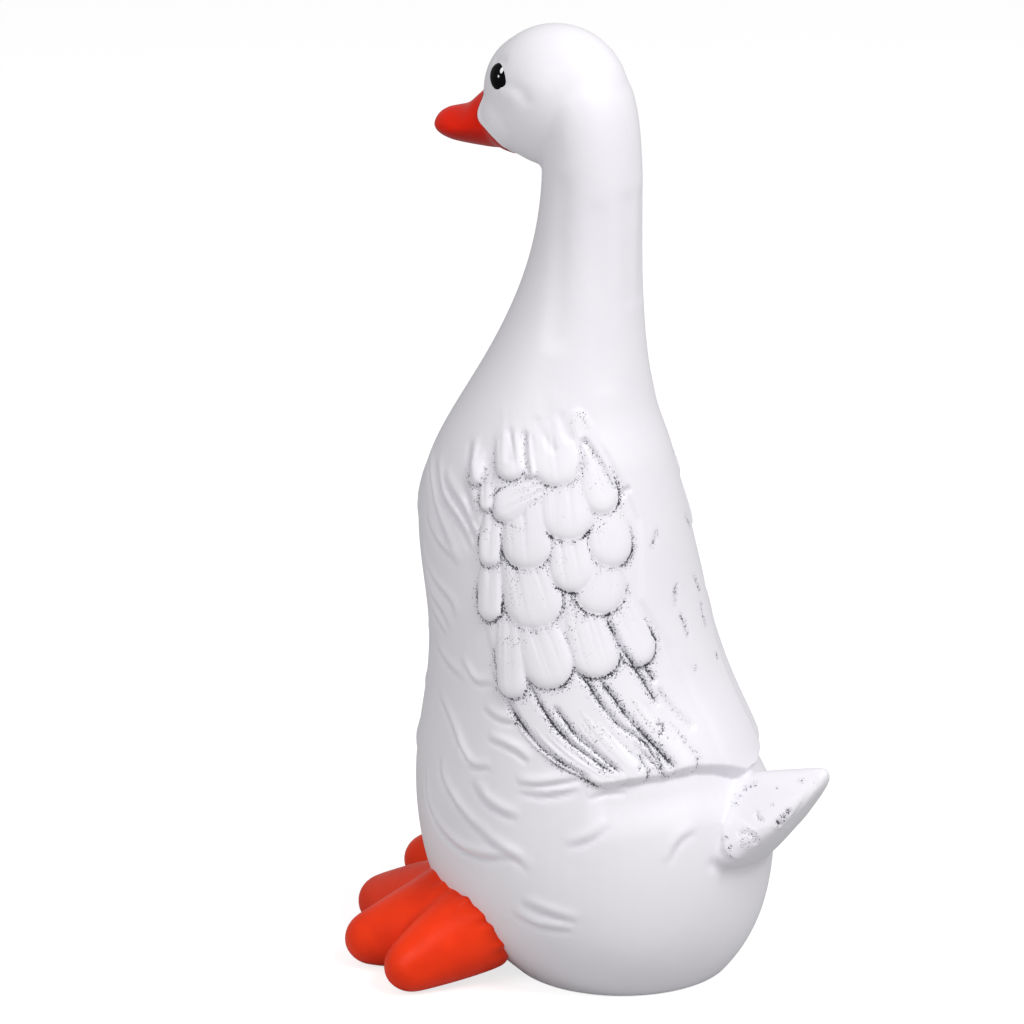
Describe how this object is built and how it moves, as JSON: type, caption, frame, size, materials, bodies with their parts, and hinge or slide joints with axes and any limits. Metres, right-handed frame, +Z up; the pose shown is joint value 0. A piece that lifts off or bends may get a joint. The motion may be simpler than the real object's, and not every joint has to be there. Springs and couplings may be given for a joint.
{
  "type": "duck garden statue",
  "caption": "Upright duck figure for a garden, cast and painted in one piece, with carved wings, spread webbed feet and a short raised tail; it stands on a flat base",
  "frame": {"origin": "on the ground, under the middle of the statue's outline", "axes": "+Z up, the duck looks along -Y, its left side is at +X"},
  "size_m": [0.2204, 0.2712, 0.4891],
  "materials": {
    "white_paint": "satin white paint over cast resin, dark grey left in the carved lines",
    "red_paint": "satin red-orange paint on beak and feet",
    "black_paint": "glossy black paint on the eyes"
  },
  "bodies": {
    "root": {"duck_statue": "white_paint"}
  },
  "joints": []
}
